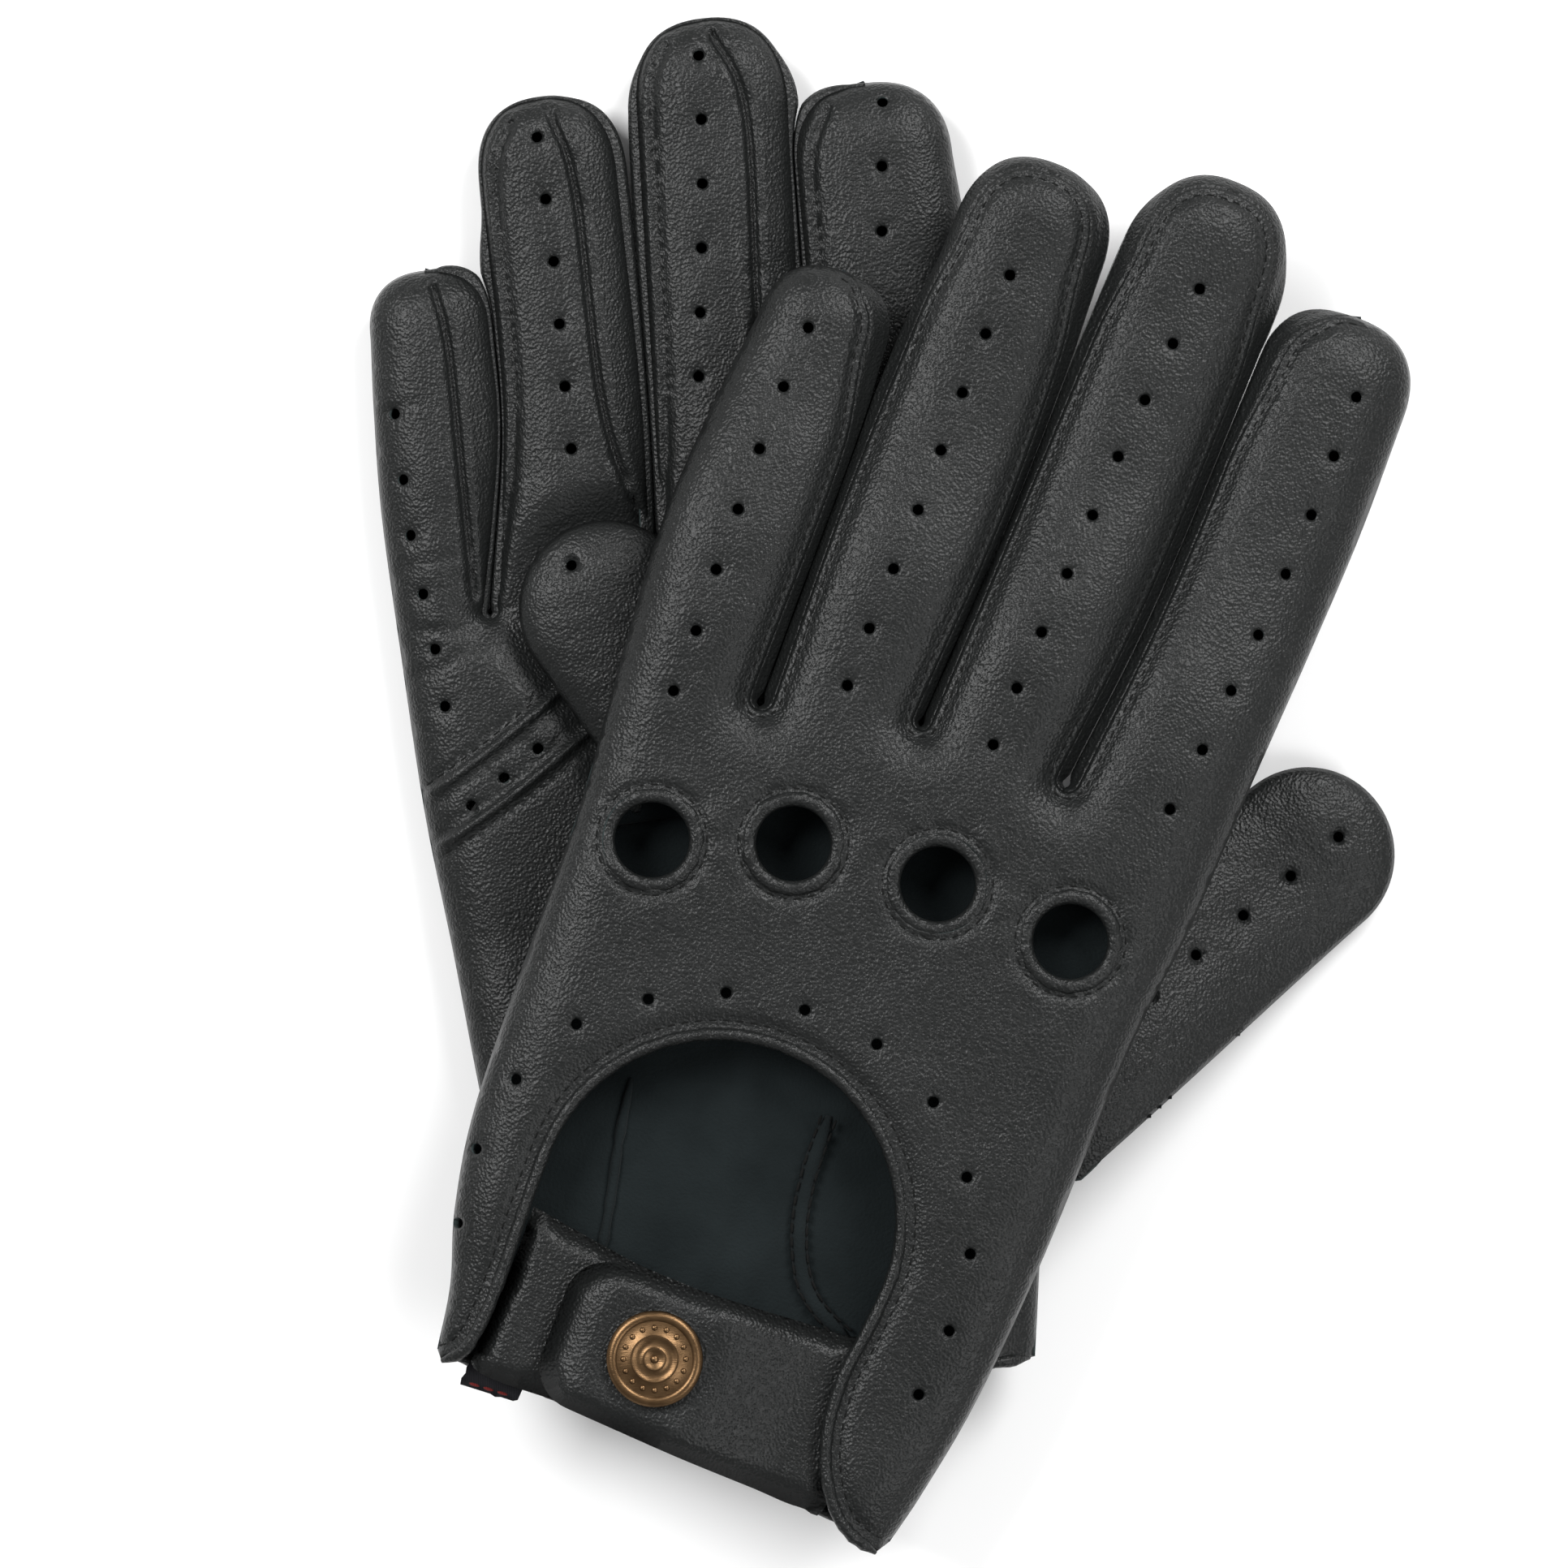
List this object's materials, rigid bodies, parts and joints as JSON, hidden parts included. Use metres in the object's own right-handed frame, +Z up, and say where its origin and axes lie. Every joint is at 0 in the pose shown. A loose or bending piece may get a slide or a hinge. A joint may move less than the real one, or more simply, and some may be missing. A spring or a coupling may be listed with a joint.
{
  "type": "pair of driving gloves",
  "caption": "Pair of thin leather driving gloves, stacked back up on palm up, with knuckle holes, keyhole backs, perforations and snap wrist straps.",
  "frame": {"origin": "centre of the pair's plan, on the table", "axes": "+Y along the pair's length towards the fingertips, +X to the left glove's thumb, +Z up"},
  "size_m": [0.172, 0.2542, 0.036],
  "materials": {
    "dark_leather": "satin, fine pebbled grain",
    "antique_brass": "antique, satin",
    "label_cloth": "matte woven"
  },
  "bodies": {
    "right_glove": {"right_back_panel": "dark_leather", "right_index_knuckle_rim": "dark_leather", "right_index_outer_fourchette": "dark_leather", "right_keyhole_binding": "dark_leather", "right_little_inner_fourchette": "dark_leather", "right_little_knuckle_rim": "dark_leather", "right_middle_inner_fourchette": "dark_leather", "right_middle_knuckle_rim": "dark_leather", "right_middle_outer_fourchette": "dark_leather", "right_palm_band": "dark_leather", "right_palm_hem": "dark_leather", "right_palm_panel": "dark_leather", "right_ring_inner_fourchette": "dark_leather", "right_ring_knuckle_rim": "dark_leather", "right_ring_outer_fourchette": "dark_leather", "right_snap_stud": "antique_brass", "right_snap_washer": "antique_brass", "right_strap_flap": "dark_leather", "right_strap_root": "dark_leather", "right_thumb_inner": "dark_leather", "right_thumb_outer": "dark_leather"},
    "right_strap_tab": {"right_snap_cap": "antique_brass", "right_snap_socket": "antique_brass", "right_strap_tab": "dark_leather"},
    "left_glove": {"left_back_panel": "dark_leather", "left_index_knuckle_rim": "dark_leather", "left_index_outer_fourchette": "dark_leather", "left_keyhole_binding": "dark_leather", "left_label": "label_cloth", "left_little_inner_fourchette": "dark_leather", "left_little_knuckle_rim": "dark_leather", "left_middle_inner_fourchette": "dark_leather", "left_middle_knuckle_rim": "dark_leather", "left_middle_outer_fourchette": "dark_leather", "left_palm_band": "dark_leather", "left_palm_hem": "dark_leather", "left_palm_panel": "dark_leather", "left_ring_inner_fourchette": "dark_leather", "left_ring_knuckle_rim": "dark_leather", "left_ring_outer_fourchette": "dark_leather", "left_snap_stud": "antique_brass", "left_snap_washer": "antique_brass", "left_strap_flap": "dark_leather", "left_strap_root": "dark_leather", "left_thumb_inner": "dark_leather", "left_thumb_outer": "dark_leather"},
    "left_strap_tab": {"left_snap_cap": "antique_brass", "left_snap_socket": "antique_brass", "left_strap_tab": "dark_leather"}
  },
  "joints": [
    {"name": "left_glove_lift", "type": "slide", "parent": "right_glove", "child": "left_glove", "axis": [0, 0, 1], "range_m": [0, 0.1]},
    {"name": "left_strap_hinge", "type": "hinge", "parent": "left_glove", "child": "left_strap_tab", "pos_m": [-0.01373, -0.10307, 0.0319], "axis": [0.3584, 0.9336, 0], "range_deg": [0, 150]},
    {"name": "right_strap_hinge", "type": "hinge", "parent": "right_glove", "child": "right_strap_tab", "pos_m": [0.00133, -0.07906, 0.0041], "axis": [0.1097, -0.994, 0], "range_deg": [0, 150]}
  ]
}
